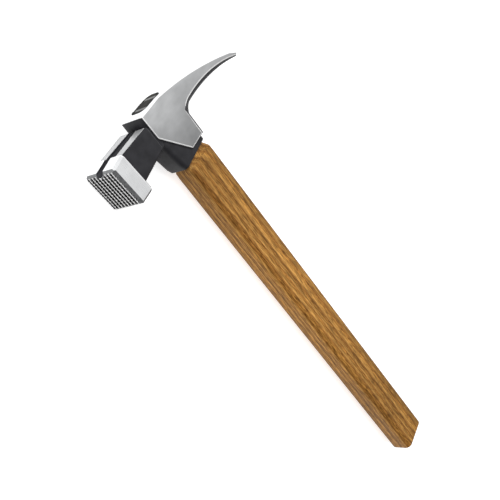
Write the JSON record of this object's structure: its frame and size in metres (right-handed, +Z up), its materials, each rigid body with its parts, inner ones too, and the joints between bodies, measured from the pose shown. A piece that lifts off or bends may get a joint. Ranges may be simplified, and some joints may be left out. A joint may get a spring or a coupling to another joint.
{
  "type": "carpenter's claw hammer",
  "caption": "Wood-handled carpenter's hammer with a square milled face, a nail-starting groove and a long ripping claw.",
  "frame": {"origin": "on the surface that the hammer lies on, under the middle of its bounding box", "axes": "+Z up, across the head; +Y along the handle from the butt to the crown; +X from the striking face to the claw"},
  "size_m": [0.1401, 0.3412, 0.0265],
  "materials": {
    "forged_steel": "forged steel, ground bright on cheeks, claw, poll and crown, black enamel elsewhere",
    "ash_wood": "ring-porous ash, oiled golden brown",
    "wedge_wood": "hardwood end grain sealed with dark grey paint",
    "wedge_steel": "mild steel, partly painted over",
    "magnet_plating": "nickel plated"
  },
  "bodies": {
    "root": {"hammer_head": "forged_steel", "handle": "ash_wood", "wood_wedge": "wedge_wood", "steel_wedge_front": "wedge_steel", "steel_wedge_rear": "wedge_steel", "nail_magnet": "magnet_plating"}
  },
  "joints": []
}
